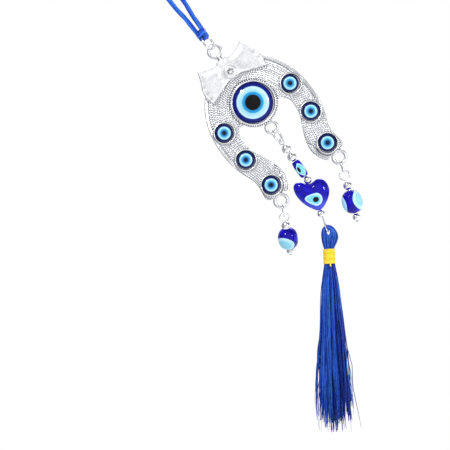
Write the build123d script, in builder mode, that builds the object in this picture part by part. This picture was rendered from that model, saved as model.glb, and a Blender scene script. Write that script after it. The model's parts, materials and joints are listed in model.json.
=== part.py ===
from build123d import *

import os
from math import acos, asin, copysign, cos, degrees, pi, radians, sin, tan

# Evil eye wall hanging: a cast horseshoe plate on a cord loop, with glass eyes, a bow, two bead
# dangles and a bead strand that ends in a silk tassel. Millimetres. +Z is up, +X is right and -Y is
# the front. The origin is the point where the cord loop bears on its nail.

os.makedirs("parts", exist_ok=True)

# ---- driving dimensions -------------------------------------------------------------------------

# Hanging cord, a doubled satin cord over a nail
cord_diameter = 2.2
nail_clear_width = 6.0  # between the two strands' centre lines at the nail
cord_foot_spread = 1.15  # each strand's centre line from the middle, at the hitch
hitch_radius, hitch_bore, hitch_arc = 2.1, 0.60, 72.0
plate_drop = 36.0  # nail to the centre of the plate's top loop

# Horseshoe casting, depths measured towards the front from the middle of its loops
plate_back = -1.2
plate_face = 0.9
cup_floor = 0.5
crown_top = 6.6  # below the top loop's centre, as are all the heights below
crown_half_width = 24.6
crown_widest = 37.4
opening_top = 33.4
neck_width, neck_height, neck_middle_drop = 3.6, 4.6, 5.0
neck_back, neck_thickness = -0.6, 1.4

# Cast loops: ring radius to the middle of the metal, and the metal's own radius
top_loop = (2.8, 0.68)
centre_loop = (2.55, 0.70)
tip_loop = (2.8, 0.80)
centre_loop_drop = 41.7
tip_loop_x, tip_loop_drop = 16.0, 70.0

# Cups and glass eyes
big_cup_drop = 28.3
big_cup_radius, big_cup_bore, big_cup_front = 10.35, 9.35, 2.9
big_eye_radius, big_eye_edge, big_eye_height = 9.0, 1.6, 4.2
small_cup_radius, small_cup_bore, small_cup_front = 4.8, 4.35, 2.3
small_eye_radius, small_eye_edge, small_eye_height = 3.95, 1.2, 2.6
big_eye_shift = (-0.22, 0.24)
# Each row: name, x, drop, and how far the glass sits off its cup's centre, right and up
small_eyes = (
    ("left_upper_eye", -18.2, 31.3, (-0.08, 0.06)),
    ("left_middle_eye", -17.8, 46.4, (0.05, 0.08)),
    ("left_lower_eye", -15.4, 61.9, (-0.06, 0.10)),
    ("right_upper_eye", 18.2, 31.3, (-0.24, 0.28)),
    ("right_middle_eye", 17.8, 46.4, (0.10, 0.05)),
    ("right_lower_eye", 15.4, 61.9, (0.06, 0.10)),
)

# Bow, soldered across the crown
bow_back, bow_front = 1.5, 2.9
knot_drop, knot_radius, knot_height = 11.3, 3.3, 1.7
knot_pad_radius, knot_sink = 2.6, 0.2
crystal_radius, crystal_height, crystal_play = 1.25, 1.3, 0.03
seat_depth = 0.8

# Jump rings: ring radius to the middle of the wire, and the wire's radius
top_ring = (3.45, 0.45)
centre_ring = (3.05, 0.45)
side_ring = (2.75, 0.40)
link_gap = 0.12  # left open wherever two links pull on each other
top_ring_turn = 58.0  # degrees that each ring's plane is turned from face-on
centre_ring_turn = 62.0

# Wire pins
pin_radius = 0.30
centre_eye_radius = 1.20
side_eye_radius = 2.20
pin_head_radius, pin_head_thickness = 0.75, 0.40
tassel_wire_radius, tassel_wire_length, tassel_wire_turn = 2.2, 6.6, 75.0
tassel_wire_overlap = 1.9  # that the pin's shank runs on into its loop
loop_corner_reach = 1.12  # corners of the loop's outline, as a share of its radius

# Beads
bead_gap = 0.12
bead_bore, bent_wire_bore = 0.38, 0.62
large_silver, heart_silver, foot_silver = 2.10, 1.80, 1.75
side_silver, side_foot_silver = 2.00, 1.70
barrel_length, barrel_radius, barrel_end_radius = 8.1, 2.15, 1.65
oval_length, oval_radius, oval_fullness = 10.4, 4.55, 0.88
heart_thickness, heart_bore_length = 6.0, 20.0
heart_notch, heart_tip, heart_tip_half_width = 4.2, -8.0, 0.9
# Widest places of the hand-pressed heart, down its right side and up its left side
heart_right = ((1.9, 4.55), (4.3, 5.0), (7.4, 1.4), (5.6, -4.1))
heart_left = ((-5.2, -3.6), (-7.3, 3.2), (-5.0, 6.6), (-2.3, 5.1))

# Tassel
tassel_loop = (2.0, 0.9)
head_top, head_length, head_radius = 1.35, 7.1, 3.65
binding_length, binding_radius = 6.4, 2.65
tassel_length = 86.3  # from the middle of its hanging loop to the ends of the threads
skirt_radii = (2.4, 5.3, 7.0, 8.2)
skirt_flatness = 0.72

# Angles from straight down, towards -X, at which the loose pieces hang here
centre_lean, heart_lean, tassel_lean = 2.5, 15.0, 34.8
right_lean, left_lean = 21.0, 25.5
left_tilt_back = 38.0

# ---- helpers ------------------------------------------------------------------------------------


def finish(name, label):
    """Labels a finished piece and writes it as its own STEP file."""
    name.part.label = label
    export_step(name.part, f"parts/{label}.step")


def plate_plane(front):
    """Sketch plane parallel to the plate, this far in front of the middle of its loops."""
    return Plane(origin=(0, -front, -plate_drop), x_dir=(1, 0, 0), z_dir=(0, -1, 0))


def down(lean):
    """Unit vector that points down, leaning this many degrees towards -X."""
    return Vector(-sin(radians(lean)), 0, -cos(radians(lean)))


def across(lean):
    """Unit vector square to down(lean), in the plate's plane, towards +X."""
    return Vector(cos(radians(lean)), 0, -sin(radians(lean)))


def link(centre, axis, sizes):
    """A closed ring of round wire, as a solid about this axis."""
    with BuildPart(Plane(origin=centre, z_dir=axis)) as ring:
        Torus(sizes[0], sizes[1])
    return ring


# ---- where everything hangs -----------------------------------------------------------------------

front_axis = Vector(0, -1, 0)
plate_top = Vector(0, 0, -plate_drop)
top_ring_reach = top_loop[0] - top_loop[1] - top_ring[1] - link_gap + top_ring[0]
top_ring_centre = plate_top + Vector(0, 0, top_ring_reach)
top_ring_side = Vector(cos(radians(top_ring_turn)), sin(radians(top_ring_turn)), 0)
top_ring_axis = Vector(0, 0, 1).cross(top_ring_side)

# Centre strand: cast loop, jump ring, pin
centre_loop_centre = plate_top + Vector(0, 0, -centre_loop_drop)
strand_down = down(centre_lean)
centre_ring_reach = centre_loop[0] - centre_loop[1] - centre_ring[1] - link_gap + centre_ring[0]
centre_ring_centre = centre_loop_centre + strand_down * centre_ring_reach
centre_ring_axis = (
    across(centre_lean) * sin(radians(centre_ring_turn)) + front_axis * cos(radians(centre_ring_turn))
)
centre_eye_reach = centre_ring[0] - centre_ring[1] - pin_radius - link_gap + centre_eye_radius
pin_eye_centre = centre_ring_centre + strand_down * centre_eye_reach
first_bead_reach = centre_eye_radius + pin_radius + bead_gap + large_silver
upper_silver_centre = pin_eye_centre + strand_down * first_bead_reach
second_silver_centre = upper_silver_centre + strand_down * (2 * large_silver + bead_gap)
barrel_centre = second_silver_centre + strand_down * (large_silver + bead_gap + barrel_length / 2)
heart_silver_centre = barrel_centre + strand_down * (barrel_length / 2 + bead_gap + heart_silver)

# The wire bends inside the silver bead that sits in the heart's notch
heart_down = down(heart_lean)
heart_reach = heart_silver + bead_gap + heart_notch
heart_centre = heart_silver_centre + heart_down * heart_reach
foot_silver_centre = heart_centre + heart_down * (-heart_tip + bead_gap + foot_silver)
tassel_wire_top = foot_silver_centre + heart_down * (foot_silver + bead_gap)
tassel_wire_bottom = tassel_wire_top + heart_down * tassel_wire_length

# Tassel, on the long wire loop at the pin's foot
tassel_down = down(tassel_lean)
tassel_loop_reach = tassel_loop[0] - tassel_loop[1] - pin_radius - link_gap
tassel_loop_centre = tassel_wire_bottom + tassel_down * tassel_loop_reach

# ---- hanging cord and its hitch -------------------------------------------------------------------

cord_radius = cord_diameter / 2
foot_z = top_ring_centre.Z + top_ring[0] + cord_radius
cord_route = (
    (-cord_foot_spread, 0, foot_z),
    (-nail_clear_width / 2, 0, cord_radius),
    (nail_clear_width / 2, 0, cord_radius),
    (cord_foot_spread, 0, foot_z),
)
with BuildPart() as hanging_cord:
    with BuildLine() as route:
        first_run = Vector(*cord_route[1]) - Vector(*cord_route[0])
        turn = first_run.get_angle(Vector(1, 0, 0))
        nail_arc = 0.45 * nail_clear_width / tan(radians(turn) / 2)
        FilletPolyline(*cord_route, radius=nail_arc)
    with BuildSketch(Plane(origin=cord_route[0], z_dir=first_run)):
        Circle(cord_radius)
    sweep()
finish(hanging_cord, "hanging_cord")
cord_length = route.wire().length
cord_check = hanging_cord.part.volume / (pi * cord_radius**2 * cord_length)
print(f"cord: length {cord_length:.1f}, nail arc radius {nail_arc:.2f}, volume ratio {cord_check:.4f}")

# The hitch is the bundle of cord wrapped on the ring, here one sleeve along the ring's top
hitch_start = Vector(0, 0, 1).rotate(Axis((0, 0, 0), top_ring_axis), -hitch_arc / 2)
with BuildPart() as cord_hitch:
    section = Plane(origin=top_ring_centre, x_dir=hitch_start, z_dir=hitch_start.cross(top_ring_axis))
    with BuildSketch(section):
        with Locations((top_ring[0], 0)):
            Circle(hitch_radius)
            Circle(hitch_bore, mode=Mode.SUBTRACT)
    revolve(axis=Axis(top_ring_centre, top_ring_axis), revolution_arc=hitch_arc)
finish(cord_hitch, "cord_hitch")

top_jump_ring = link(top_ring_centre, top_ring_axis, top_ring)
finish(top_jump_ring, "top_jump_ring")

# ---- horseshoe casting ----------------------------------------------------------------------------

# Right half of the outline, as x and the drop below the top loop's centre
outer_leg = ((24.6, 37.4), (24.2, 44.0), (22.5, 50.8), (20.4, 57.0), (20.6, 62.0), (21.0, 64.8))
tip_edge = ((21.0, 64.8), (19.6, 66.9), (16.0, 67.4), (12.4, 67.5), (9.0, 65.2))
inner_leg = ((9.0, 65.2), (7.7, 59.8), (8.8, 54.4), (11.2, 49.0), (13.5, 43.4), (14.0, 38.4), (11.6, 33.4))


def drops(points):
    """Outline points on the plate's sketch plane, where heights count upwards."""
    return [(x, -drop) for x, drop in points]


with BuildSketch(plate_plane(0)) as horseshoe:
    with BuildLine():
        crown_height = crown_widest - crown_top
        EllipticalCenterArc((0, -crown_widest), crown_half_width, crown_height, start_angle=0, arc_size=90)
        Spline(*drops(outer_leg), tangents=((0, -1), (0.1, -1)))
        Spline(*drops(tip_edge), tangents=((0.1, -1), (-0.55, 1)))
        Spline(*drops(inner_leg), tangents=((-0.55, 1), (-0.7, 1)))
        Polyline((11.6, -opening_top), (0, -opening_top), (0, -crown_top))
    make_face()
    mirror(about=Plane.YZ)

with BuildPart() as horseshoe_plate:
    with BuildSketch(plate_plane(plate_back)):
        add(horseshoe.sketch_local)
    extrude(amount=plate_face - plate_back)
    # Solid feet of the cups, then their bores down to the glass seats
    with BuildSketch(plate_plane(plate_back)):
        with Locations((0, -big_cup_drop)):
            Circle(big_cup_radius)
    extrude(amount=big_cup_front - plate_back)
    with BuildSketch(plate_plane(plate_back)):
        with Locations(*[(x, -drop) for _, x, drop, _ in small_eyes]):
            Circle(small_cup_radius)
    extrude(amount=small_cup_front - plate_back)
    with BuildSketch(plate_plane(cup_floor)):
        with Locations((0, -big_cup_drop)):
            Circle(big_cup_bore)
        with Locations(*[(x, -drop) for _, x, drop, _ in small_eyes]):
            Circle(small_cup_bore)
    extrude(amount=big_cup_front - cup_floor, mode=Mode.SUBTRACT)
    # Neck up to the top loop, under the bow
    with BuildSketch(plate_plane(neck_back)):
        with Locations((0, -neck_middle_drop)):
            Rectangle(neck_width, neck_height)
    extrude(amount=neck_thickness)
    with Locations(Plane(origin=plate_top, z_dir=front_axis)):
        Torus(*top_loop)
    with Locations(Plane(origin=centre_loop_centre, z_dir=front_axis)):
        Torus(*centre_loop)
    for side in (-1, 1):
        tip_loop_centre = plate_top + Vector(side * tip_loop_x, 0, -tip_loop_drop)
        with Locations(Plane(origin=tip_loop_centre, z_dir=front_axis)):
            Torus(*tip_loop)
finish(horseshoe_plate, "horseshoe_plate")


def glass_eye(label, x, drop, radius, edge, height):
    """A glass cabochon with a flat back: a short straight edge under a shallow dome."""
    centre = plate_plane(cup_floor).from_local_coords(Vector(x, -drop, 0))
    with BuildPart() as eye:
        with BuildSketch(Plane(origin=centre, x_dir=(1, 0, 0), z_dir=(0, 0, 1))):
            with BuildLine():
                Polyline((0, -height), (0, 0), (radius, 0), (radius, -edge))
                dome = height - edge
                dome_radius = (radius**2 + dome**2) / (2 * dome)
                half_turn = asin(radius / dome_radius) / 2
                middle = (dome_radius * sin(half_turn), dome_radius * (1 - cos(half_turn)) - height)
                ThreePointArc((radius, -edge), middle, (0, -height))
            make_face()
        revolve(axis=Axis(centre, front_axis))
    finish(eye, label)


glass_eye(
    "centre_eye",
    big_eye_shift[0],
    big_cup_drop - big_eye_shift[1],
    big_eye_radius,
    big_eye_edge,
    big_eye_height,
)
for label, x, drop, (right, up) in small_eyes:
    glass_eye(label, x + right, drop - up, small_eye_radius, small_eye_edge, small_eye_height)

# ---- bow and crystal ------------------------------------------------------------------------------

with BuildPart() as bow:
    with BuildSketch(plate_plane(bow_back)):
        with BuildLine():
            Line((0, -4.3), (2.6, -4.6))
            ThreePointArc((2.6, -4.6), (4.2, -5.6), (5.4, -5.4))
            ThreePointArc((5.4, -5.4), (8.8, -4.3), (11.7, -2.7))
            Line((11.7, -2.7), (13.4, -7.6))
            ThreePointArc((13.4, -7.6), (15.4, -12.8), (14.4, -18.4))
            ThreePointArc((14.4, -18.4), (9.2, -16.6), (3.4, -14.4))
            Line((3.4, -14.4), (0, -14.6))
            Line((0, -14.6), (0, -4.3))
        make_face()
        mirror(about=Plane.YZ)
    extrude(amount=bow_front - bow_back)
    with BuildSketch(plate_plane(plate_face)):
        with Locations((0, -knot_drop)):
            Circle(knot_pad_radius)
    extrude(amount=bow_front - plate_face)
    # Round knot: a low dome, then the crystal's seat
    knot_foot = bow_front - knot_sink
    knot_centre = plate_plane(knot_foot).from_local_coords(Vector(0, -knot_drop, 0))
    with BuildSketch(Plane(origin=knot_centre, x_dir=(1, 0, 0), z_dir=(0, 0, 1))):
        with BuildLine():
            Polyline((0, -knot_height), (0, 0), (knot_radius, 0))
            ThreePointArc((knot_radius, 0), (0.72 * knot_radius, -0.66 * knot_height), (0, -knot_height))
        make_face()
    revolve(axis=Axis(knot_centre, front_axis))
    crystal_seat = knot_foot + knot_height - seat_depth
    with BuildSketch(plate_plane(crystal_seat)):
        with Locations((0, -knot_drop)):
            Circle(crystal_radius + crystal_play)
    extrude(amount=2 * seat_depth, mode=Mode.SUBTRACT)
finish(bow, "bow")

with BuildPart() as bow_crystal:
    with BuildSketch(plate_plane(crystal_seat)):
        with Locations((0, -knot_drop)):
            Circle(crystal_radius)
    extrude(amount=crystal_height)
    chamfer(bow_crystal.faces().sort_by(Axis.Y)[0].edges(), length=0.35)
finish(bow_crystal, "bow_crystal")

# ---- beads ----------------------------------------------------------------------------------------


def round_bead(label, centre, direction, radius, bore=bead_bore):
    """A plain round bead, bored through along its wire."""
    with BuildPart(Plane(origin=centre, z_dir=direction)) as bead:
        Sphere(radius)
        Cylinder(bore, 2 * radius + 1, mode=Mode.SUBTRACT)
    finish(bead, label)


def turned_bead(label, centre, direction, length, radius, end_radius):
    """A longer bead, turned about its wire, with bulging sides and flat ends."""
    half = length / 2
    side = direction.cross(Vector(0, 1, 0)).normalized()
    with BuildPart() as bead:
        with BuildSketch(Plane(origin=centre, x_dir=side, z_dir=side.cross(direction))):
            with BuildLine():
                Polyline((end_radius, -half), (bead_bore, -half), (bead_bore, half), (end_radius, half))
                ThreePointArc((end_radius, half), (radius, 0), (end_radius, -half))
            make_face()
        revolve(axis=Axis(centre, direction))
    finish(bead, label)


def oval_point(angle):
    """A point on the oval bead's outline, this many degrees round from its widest place."""
    width = cos(radians(angle)) ** oval_fullness
    height = copysign(abs(sin(radians(angle))) ** oval_fullness, angle)
    return (oval_radius * width, oval_length / 2 * height)


def oval_bead(label, centre, direction):
    """An egg-shaped glass bead, bored through from end to end, its outline made of arcs."""
    hole_edge = degrees(acos((bead_bore / oval_radius) ** (1 / oval_fullness)))
    corners = (hole_edge, 45, 0, -45, -hole_edge)
    side = direction.cross(Vector(0, 1, 0)).normalized()
    with BuildPart() as bead:
        with BuildSketch(Plane(origin=centre, x_dir=side, z_dir=side.cross(direction))):
            with BuildLine():
                for start, end in zip(corners, corners[1:]):
                    ThreePointArc(oval_point(start), oval_point((start + end) / 2), oval_point(end))
                Line(oval_point(-hole_edge), oval_point(hole_edge))
            make_face()
        revolve(axis=Axis(centre, direction))
    finish(bead, label)


# ---- centre strand --------------------------------------------------------------------------------

centre_jump_ring = link(centre_ring_centre, centre_ring_axis, centre_ring)
finish(centre_jump_ring, "centre_jump_ring")

round_bead("upper_silver_bead", upper_silver_centre, strand_down, large_silver)
round_bead("second_silver_bead", second_silver_centre, strand_down, large_silver)
turned_bead("barrel_bead", barrel_centre, strand_down, barrel_length, barrel_radius, barrel_end_radius)
# The wire bends inside this one, so its bore is wider
bend_down = (strand_down + heart_down).normalized()
round_bead("notch_silver_bead", heart_silver_centre, bend_down, heart_silver, bore=bent_wire_bore)

heart_plane = Plane(origin=heart_centre, x_dir=across(heart_lean), z_dir=(0, -1, 0))
with BuildPart() as heart_bead:
    with BuildSketch(heart_plane.offset(-heart_thickness / 2)):
        with BuildLine():
            Spline((0, heart_notch), *heart_right, (heart_tip_half_width, heart_tip))
            Line((heart_tip_half_width, heart_tip), (-heart_tip_half_width, heart_tip))
            Spline((-heart_tip_half_width, heart_tip), *heart_left, (0, heart_notch))
        make_face()
    extrude(amount=heart_thickness)
    with Locations(Plane(origin=heart_centre, z_dir=heart_down)):
        Cylinder(bead_bore, heart_bore_length, mode=Mode.SUBTRACT)
finish(heart_bead, "heart_bead")
round_bead("foot_silver_bead", foot_silver_centre, heart_down, foot_silver)

# Pin: small eye, wire through the beads, long narrow loop for the tassel
pin_start = pin_eye_centre + strand_down * centre_eye_radius
pin_end = tassel_wire_top + heart_down * tassel_wire_overlap
loop_corner = tassel_wire_radius * loop_corner_reach
wire_side = (
    across(heart_lean) * cos(radians(tassel_wire_turn)) + Vector(0, 1, 0) * sin(radians(tassel_wire_turn))
)
with BuildPart() as centre_pin:
    with Locations(Plane(origin=pin_eye_centre, z_dir=centre_ring_axis.cross(strand_down))):
        Torus(centre_eye_radius, pin_radius)
    with BuildLine() as pin_line:
        FilletPolyline(pin_start, heart_silver_centre, pin_end, radius=1.0)
    with BuildSketch(Plane(origin=pin_start, z_dir=strand_down)):
        Circle(pin_radius)
    sweep(path=pin_line.wire())
    with BuildLine() as loop_line:
        FilletPolyline(
            tassel_wire_top,
            tassel_wire_bottom + wire_side * loop_corner,
            tassel_wire_bottom - wire_side * loop_corner,
            radius=(0.35, 1.6, 1.6),
            close=True,
        )
    loop_foot = Plane(origin=tassel_wire_bottom, z_dir=wire_side)
    with BuildSketch(loop_foot):
        Circle(pin_radius)
    sweep(path=loop_line.wire())
finish(centre_pin, "centre_pin")

# ---- tassel ---------------------------------------------------------------------------------------


def tassel_section(reach):
    """Sketch plane across the tassel at this distance below the middle of its hanging loop."""
    return Plane(
        origin=tassel_loop_centre + tassel_down * reach,
        x_dir=across(tassel_lean),
        z_dir=tassel_down,
    )


head_foot = binding_radius - 0.2
with BuildPart() as tassel_head:
    with Locations(Plane(origin=tassel_loop_centre, z_dir=front_axis)):
        Torus(*tassel_loop)
    profile = Plane(origin=tassel_loop_centre, x_dir=across(tassel_lean), z_dir=front_axis)
    with BuildSketch(profile):
        with BuildLine():
            Polyline((0, -head_top), (0, -head_length), (head_foot, -head_length))
            Spline(
                (head_foot, -head_length),
                (head_radius, -4.0),
                (2.5, -1.9),
                (0, -head_top),
                tangents=((0.6, 1), (-1, 0.12)),
            )
        make_face()
    revolve(axis=Axis(tassel_loop_centre, tassel_down))
finish(tassel_head, "tassel_head")

with BuildPart() as tassel_binding:
    with BuildSketch(tassel_section(head_length)):
        Circle(binding_radius)
    extrude(amount=binding_length)
finish(tassel_binding, "tassel_binding")

skirt_top = head_length + binding_length
skirt_length = tassel_length - skirt_top
with BuildPart() as tassel_skirt:
    for step, radius in enumerate(skirt_radii):
        with BuildSketch(tassel_section(skirt_top + skirt_length * step / 3)):
            Ellipse(radius, radius * (skirt_flatness if step else 1))
    loft()
finish(tassel_skirt, "tassel_skirt")

# ---- side dangles ---------------------------------------------------------------------------------


def side_dangle(side_name, side, lean, tilt_back):
    """One bead dangle: jump ring in the tip loop, then a pin with silver, oval and silver beads."""
    loop_centre = plate_top + Vector(side * tip_loop_x, 0, -tip_loop_drop)
    ring_down = down(lean)
    ring_axis = across(lean)
    ring_centre = loop_centre + ring_down * (
        tip_loop[0] - tip_loop[1] - side_ring[1] - link_gap + side_ring[0]
    )
    finish(link(ring_centre, ring_axis, side_ring), f"{side_name}_jump_ring")

    pin_down = ring_down.rotate(Axis((0, 0, 0), ring_axis), tilt_back)
    eye_reach = side_ring[0] - side_ring[1] - pin_radius - link_gap + side_eye_radius
    eye_centre = ring_centre + pin_down * eye_reach
    silver_centre = eye_centre + pin_down * (side_eye_radius + pin_radius + 2 * bead_gap + side_silver)
    oval_centre = silver_centre + pin_down * (side_silver + bead_gap + oval_length / 2)
    foot_centre = oval_centre + pin_down * (oval_length / 2 + bead_gap + side_foot_silver)
    round_bead(f"{side_name}_upper_silver_bead", silver_centre, pin_down, side_silver)
    oval_bead(f"{side_name}_oval_bead", oval_centre, pin_down)
    round_bead(f"{side_name}_foot_silver_bead", foot_centre, pin_down, side_foot_silver)

    pin_top = eye_centre + pin_down * side_eye_radius
    pin_length = (foot_centre - pin_top).length + side_foot_silver + bead_gap
    with BuildPart() as pin:
        with Locations(Plane(origin=eye_centre, z_dir=pin_down.cross(ring_axis))):
            Torus(side_eye_radius, pin_radius)
        with BuildSketch(Plane(origin=pin_top, z_dir=pin_down)):
            Circle(pin_radius)
        extrude(amount=pin_length + pin_head_thickness)
        with BuildSketch(Plane(origin=pin_top + pin_down * pin_length, z_dir=pin_down)):
            Circle(pin_head_radius)
        extrude(amount=pin_head_thickness)
    finish(pin, f"{side_name}_pin")


side_dangle("left", -1, left_lean, left_tilt_back)
side_dangle("right", 1, right_lean, 0)
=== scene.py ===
import json
from collections import Counter

import bmesh
import bpy
import numpy as np
from mathutils import Matrix, Vector, kdtree


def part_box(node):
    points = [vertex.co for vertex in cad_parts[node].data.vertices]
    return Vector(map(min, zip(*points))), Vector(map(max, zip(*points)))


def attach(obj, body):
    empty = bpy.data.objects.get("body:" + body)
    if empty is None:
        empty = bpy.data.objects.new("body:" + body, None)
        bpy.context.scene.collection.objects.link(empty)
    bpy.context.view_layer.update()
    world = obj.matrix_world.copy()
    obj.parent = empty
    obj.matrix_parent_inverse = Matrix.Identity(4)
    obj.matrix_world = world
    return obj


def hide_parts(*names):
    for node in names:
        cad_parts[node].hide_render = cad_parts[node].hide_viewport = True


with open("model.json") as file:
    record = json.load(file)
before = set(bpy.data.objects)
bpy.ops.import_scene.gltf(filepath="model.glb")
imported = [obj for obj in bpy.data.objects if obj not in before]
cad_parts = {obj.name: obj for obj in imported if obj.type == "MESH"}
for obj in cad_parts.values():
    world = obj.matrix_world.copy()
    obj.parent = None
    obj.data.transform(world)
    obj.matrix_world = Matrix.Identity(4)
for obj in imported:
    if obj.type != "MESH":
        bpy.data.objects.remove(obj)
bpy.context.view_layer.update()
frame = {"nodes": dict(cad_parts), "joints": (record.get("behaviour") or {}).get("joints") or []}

# Evil eye wall hanging. All sizes here are millimetres; MM turns them into Blender's metres.
MM = 0.001
FRONT = np.array((0.0, -1.0, 0.0))
UP = np.array((0.0, 0.0, 1.0))
RIGHT = np.array((1.0, 0.0, 0.0))

# ---- camera ----

view_roll = 36.87  # degrees that the ornament leans in the picture
view_centre = np.array((-42.2, 0.0, -99.7))
view_width = 198.0
camera_distance = 900.0
sensor_width = 36.0

roll = np.radians(view_roll)
picture_right = np.array((np.cos(roll), 0, -np.sin(roll)))
picture_up = np.array((np.sin(roll), 0, np.cos(roll)))


def unit(v):
    v = np.asarray(v, float)
    return v / np.linalg.norm(v)


def add_object(name, data):
    item = bpy.data.objects.new(name, data)
    bpy.context.scene.collection.objects.link(item)
    return item


def place(obj, position, forward, up):
    """Puts a camera or light there, looking along forward, with its own up turned to up."""
    back = -unit(forward)
    side = unit(np.cross(up, back))
    top = np.cross(back, side)
    turn = Matrix(np.array((side, top, back)).T.tolist()).to_4x4()
    obj.matrix_world = Matrix.Translation(Vector(np.asarray(position) * MM)) @ turn


camera = add_object("camera", bpy.data.cameras.new("camera"))
camera.data.sensor_width = sensor_width
camera.data.lens = sensor_width * camera_distance / view_width
camera.data.clip_start, camera.data.clip_end = 0.01, 20.0
place(camera, view_centre + FRONT * camera_distance, -FRONT, picture_up)
bpy.context.scene.camera = camera
bpy.context.scene.view_settings.view_transform = "Standard"

# ---- mesh helpers ----


class Shape:
    """Collects vertices in millimetres, faces and named values per vertex, then makes one mesh."""

    def __init__(self):
        self.points, self.faces, self.values, self.count = [], [], [], 0

    def add(self, points, faces, **values):
        points = np.asarray(points, float).reshape(-1, 3)
        self.points.append(points)
        self.faces += [[i + self.count for i in face] for face in faces]
        full = {k: np.broadcast_to(np.asarray(v, float).ravel(), len(points)) for k, v in values.items()}
        self.values.append(full)
        self.count += len(points)

    def make(self, name, material, body, slot, replaced=(), weld=False, sharp=None):
        mesh = bpy.data.meshes.new(name)
        points = np.concatenate(self.points)
        mesh.from_pydata((points * MM).tolist(), [], self.faces)
        for key in sorted({k for v in self.values for k in v}):
            parts = [v.get(key, np.zeros(len(p))) for v, p in zip(self.values, self.points)]
            layer = mesh.attributes.new(key, "FLOAT", "POINT")
            layer.data.foreach_set("value", np.concatenate(parts).astype(np.float32))
        work = bmesh.new()
        work.from_mesh(mesh)
        if weld:
            bmesh.ops.remove_doubles(work, verts=work.verts, dist=1e-6)
        bmesh.ops.recalc_face_normals(work, faces=work.faces)
        work.to_mesh(mesh)
        work.free()
        mesh.shade_smooth()
        if sharp is not None:
            mesh.set_sharp_from_angle(angle=np.radians(sharp))
        mesh.materials.append(material)
        piece = add_object(name, mesh)
        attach(piece, body)
        if replaced:
            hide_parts(*replaced)
        return piece


def grid_faces(rows, columns, wrap_rows=False, wrap_columns=True):
    """Quads between the points of a grid that is stored row by row."""
    index = np.arange(rows * columns).reshape(rows, columns)
    if wrap_rows:
        index = np.vstack((index, index[:1]))
    if wrap_columns:
        index = np.hstack((index, index[:, :1]))
    quads = np.stack((index[:-1, :-1], index[:-1, 1:], index[1:, 1:], index[1:, :-1]), axis=-1)
    return quads.reshape(-1, 4).tolist()


def directions_along(path, closed):
    """Unit tangents of a path, and a pair of side directions carried along it without twist."""
    ahead = np.roll(path, -1, axis=0) - np.roll(path, 1, axis=0)
    if not closed:
        ahead[0], ahead[-1] = path[1] - path[0], path[-1] - path[-2]
    tangent = ahead / np.linalg.norm(ahead, axis=1)[:, None]
    start = FRONT if abs(tangent[0] @ FRONT) < 0.9 else UP
    side = unit(start - tangent[0] * (start @ tangent[0]))
    sides = [side]
    for t in tangent[1:]:
        side = unit(side - t * (side @ t))
        sides.append(side)
    sides = np.array(sides)
    return tangent, sides, np.cross(tangent, sides)


def round_angles(count):
    """This many even angles round a full turn."""
    return np.linspace(0, 2 * np.pi, count, endpoint=False)


def turned(u, v, turn):
    """The direction u, turned towards v by each of these angles."""
    return u * np.cos(turn)[..., None] + v * np.sin(turn)[..., None]


def rightward(direction):
    return direction if direction @ RIGHT > 0 else -direction


def distances_along(path):
    """How far along a path each of its points is."""
    steps = np.linalg.norm(np.diff(path, axis=0), axis=1)
    return np.concatenate(((0,), np.cumsum(steps)))


def tube(shape, path, radius, sides=12, closed=False, **values):
    """A round tube of one radius, or one for each point, along a path."""
    path = np.asarray(path, float)
    _, u, v = directions_along(path, closed)
    radii = np.broadcast_to(radius, len(path))
    ring = turned(u[:, None], v[:, None], round_angles(sides)[None])
    points = path[:, None] + ring * radii[:, None, None]
    faces = grid_faces(len(path), sides, wrap_rows=closed)
    if not closed:
        faces.append(list(range(sides)))
        faces.append([(len(path) - 1) * sides + i for i in range(sides)][::-1])
    full = {k: np.repeat(np.broadcast_to(v, len(path)), sides) for k, v in values.items()}
    full["along"] = np.repeat(distances_along(path), sides)
    full["around"] = np.tile(np.arange(sides) / sides, len(path))
    shape.add(points, faces, **full)


def lathe(shape, profile, centre, axis, segments=64, closed=True, **values):
    """Turns a profile of (radius, height along the axis) about that axis."""
    profile = np.asarray(profile, float)
    axis = unit(axis)
    start = FRONT if abs(FRONT @ axis) <= 0.95 else RIGHT
    u = unit(start - axis * (start @ axis))
    turn = round_angles(segments)
    ring = turned(u, np.cross(axis, u), turn)
    points = profile[:, None, :1] * ring[None] + profile[:, None, 1:] * axis + centre
    full = {}
    for key, value in values.items():
        if callable(value):
            full[key] = value(profile[:, None, 0], profile[:, None, 1], turn[None])
        else:
            full[key] = np.full((len(profile), segments), value)
    shape.add(points, grid_faces(len(profile), segments, wrap_rows=closed), **full)


def smooth_path(points, count, closed=False):
    """A Catmull-Rom curve through a few points, cut into this many steps per span."""
    points = np.asarray(points, float)
    if closed:
        padded = np.vstack((points[-1:], points, points[:2]))
    else:
        first, last = 2 * points[:1] - points[1:2], 2 * points[-1:] - points[-2:-1]
        padded = np.vstack((first, points, last))
    out = []
    for a, b, c, d in zip(padded, padded[1:], padded[2:], padded[3:]):
        for t in np.arange(count) / count:
            square, cube = 2 * a - 5 * b + 4 * c - d, 3 * b - a - 3 * c + d
            out.append(0.5 * (2 * b + (c - a) * t + square * t**2 + cube * t**3))
    if not closed:
        out.append(padded[-2])
    return np.array(out)


# ---- places read from the frame ----


def node_points(node):
    mesh = frame["nodes"][node].data
    flat = np.zeros(len(mesh.vertices) * 3)
    mesh.vertices.foreach_get("co", flat)
    return flat.reshape(-1, 3) / MM


def node_centre(node):
    low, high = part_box(node)
    return (np.array(low) + np.array(high)) / 2 / MM


def node_radius(node):
    """How far a round node reaches from its middle."""
    return np.linalg.norm(node_points(node) - node_centre(node), axis=1).max()


def thin_axis(node):
    """The direction in which a flat node, such as a ring, is thinnest."""
    points = node_points(node) - node_centre(node)
    return np.linalg.eigh(points.T @ points)[1][:, 0]


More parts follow.
